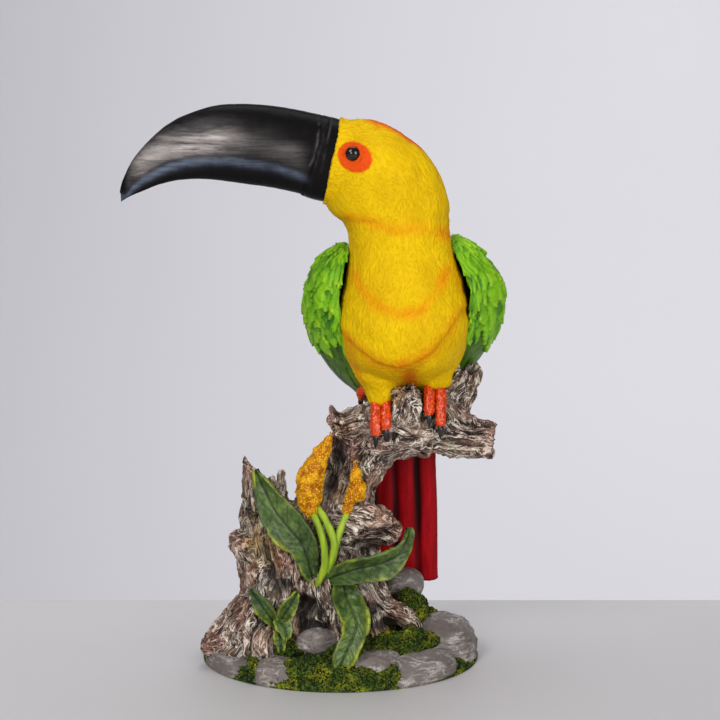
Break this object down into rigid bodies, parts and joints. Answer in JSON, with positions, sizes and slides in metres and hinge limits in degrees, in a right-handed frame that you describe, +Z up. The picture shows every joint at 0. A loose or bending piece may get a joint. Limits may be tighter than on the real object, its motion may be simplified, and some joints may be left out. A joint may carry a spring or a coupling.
{
  "type": "bird sculpture",
  "caption": "Painted resin toucan with a long curved bill, perched on a broken tree stump with leaves, flower spikes and stones on an oval mossy base.",
  "frame": {"origin": "middle of the flat underside of the oval base", "axes": "+Z up, from the underside to the bird's head; -Y is the front, where the chest faces; the bill points to -X"},
  "size_m": [0.2494, 0.1466, 0.3699],
  "materials": {
    "resin": "cast resin, hand painted, satin"
  },
  "bodies": {
    "root": {"toucan_sculpture": "resin"}
  },
  "joints": []
}
